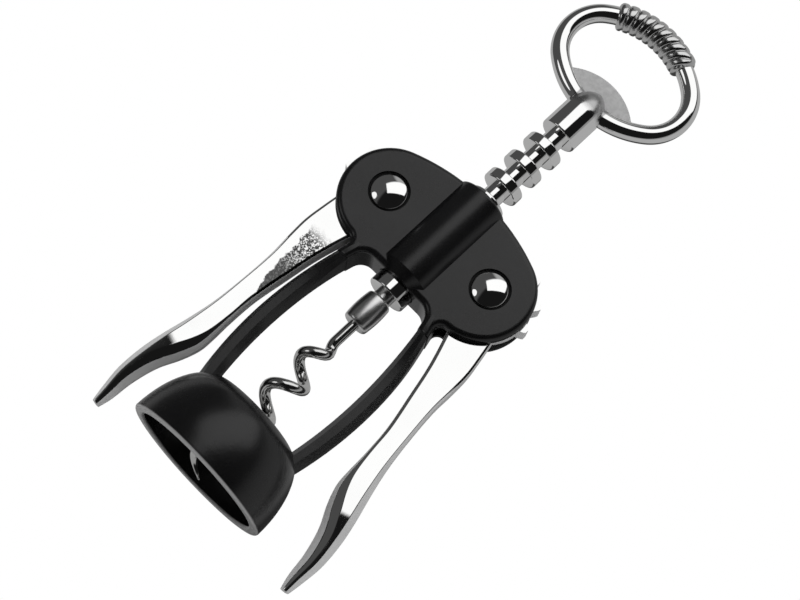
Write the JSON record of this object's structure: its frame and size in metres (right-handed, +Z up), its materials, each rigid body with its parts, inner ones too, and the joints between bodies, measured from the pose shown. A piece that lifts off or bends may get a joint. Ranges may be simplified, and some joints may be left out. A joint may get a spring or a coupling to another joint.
{
  "type": "wing corkscrew",
  "caption": "Wing corkscrew with a black cast frame and bell, polished side levers geared to a ringed rack, a steel worm and an oval ring handle with a twisted grip and cap lifter.",
  "frame": {"origin": "centre of the bell's mouth, in the plane of its rim", "axes": "+Z up the worm's axis from the bell's mouth to the ring handle, +X towards the right lever, -Y the front face"},
  "size_m": [0.0683, 0.042, 0.1734],
  "materials": {
    "black_enamel": "satin black enamel on a die casting",
    "polished_casting": "polished and chrome plated die casting",
    "satin_steel": "satin turned steel",
    "worm_steel": "polished steel wire"
  },
  "bodies": {
    "frame": {"frame_casting": "black_enamel", "pivot_pins": "polished_casting", "pivot_caps": "polished_casting"},
    "rack": {"rack": "polished_casting"},
    "screw": {"spindle": "satin_steel", "handle": "polished_casting", "ferrule": "satin_steel", "worm": "worm_steel"},
    "lever_left": {"lever_left": "polished_casting"},
    "lever_right": {"lever_right": "polished_casting"}
  },
  "joints": [
    {"name": "rack_slide", "type": "slide", "parent": "frame", "child": "rack", "axis": [0, 0, -1], "range_m": [0, 0.033]},
    {"name": "screw_spin", "type": "hinge", "parent": "rack", "child": "screw", "pos_m": [0, 0, 0.1], "axis": [0, 0, 1], "continuous": true},
    {"name": "left_swing", "type": "hinge", "parent": "frame", "child": "lever_left", "pos_m": [-0.0174, 0, 0.0812], "axis": [0, 1, 0], "range_deg": [0, 150]},
    {"name": "right_swing", "type": "hinge", "parent": "frame", "child": "lever_right", "pos_m": [0.0174, 0, 0.0812], "axis": [0, -1, 0], "range_deg": [0, 150]}
  ],
  "couplings": [
    {"joint": "left_swing", "follows": "rack_slide", "rad_per_m": 77.903},
    {"joint": "right_swing", "follows": "rack_slide", "rad_per_m": 77.903}
  ]
}
